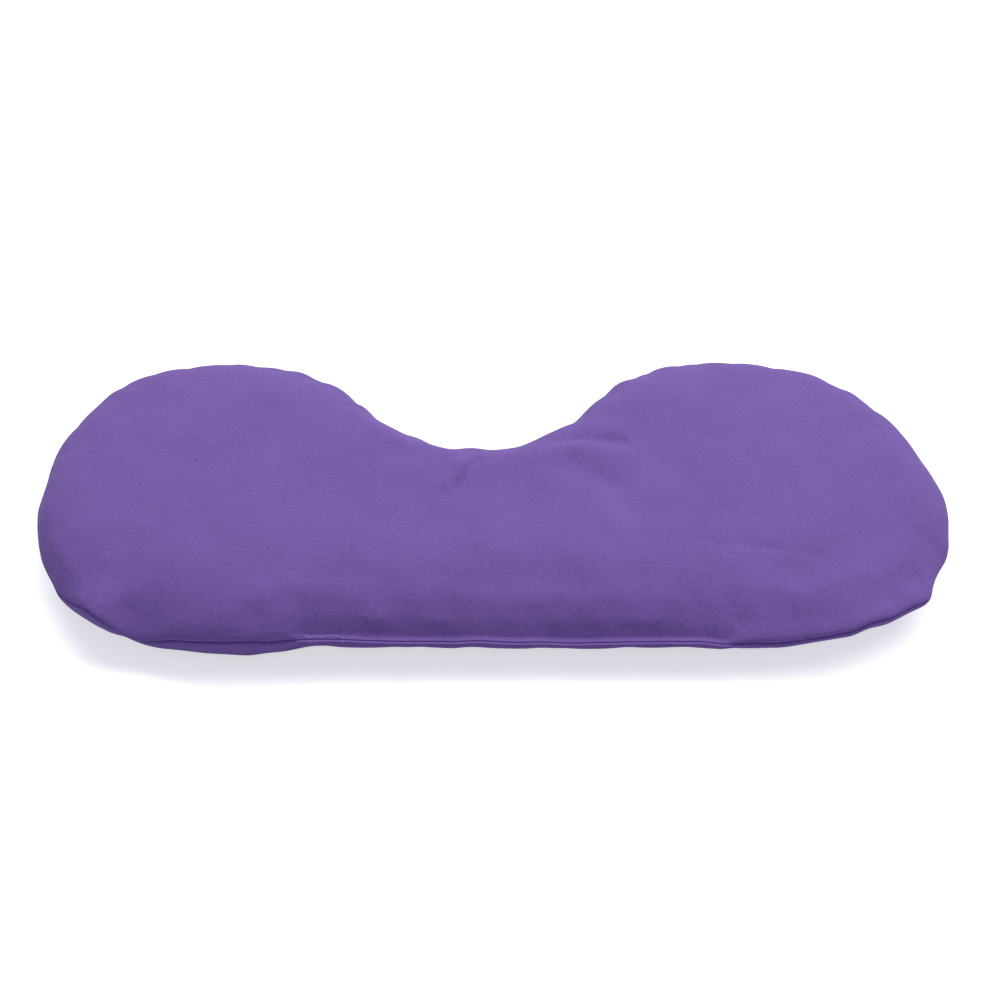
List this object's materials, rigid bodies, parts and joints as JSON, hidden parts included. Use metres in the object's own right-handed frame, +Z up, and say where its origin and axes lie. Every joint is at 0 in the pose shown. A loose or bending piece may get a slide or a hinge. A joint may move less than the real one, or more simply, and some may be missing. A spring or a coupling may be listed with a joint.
{
  "type": "eye pillow",
  "caption": "Spectacle-shaped cotton eye pillow with two round lobes, a nose notch and a sewn-up straight edge, filled with flaxseed and lavender, laid over closed eyes to rest them.",
  "frame": {"origin": "under the middle of the pillow, on the plane it lies on", "axes": "+X along the width from the left lobe to the right lobe, +Y from the straight sewn-up edge to the nose notch, +Z up"},
  "size_m": [0.24, 0.1, 0.023],
  "materials": {
    "cotton_cloth": "plain-woven purple cotton, soft and matt",
    "cotton_thread": "purple sewing thread",
    "flaxseed": "smooth brown seed",
    "lavender": "dried grey-violet buds"
  },
  "bodies": {
    "root": {"top_panel": "cotton_cloth", "bottom_panel": "cotton_cloth", "seam_needle_thread": "cotton_thread", "seam_bobbin_thread": "cotton_thread", "closing_needle_thread": "cotton_thread", "closing_bobbin_thread": "cotton_thread", "flaxseed_fill": "flaxseed", "lavender_buds": "lavender"}
  },
  "joints": []
}
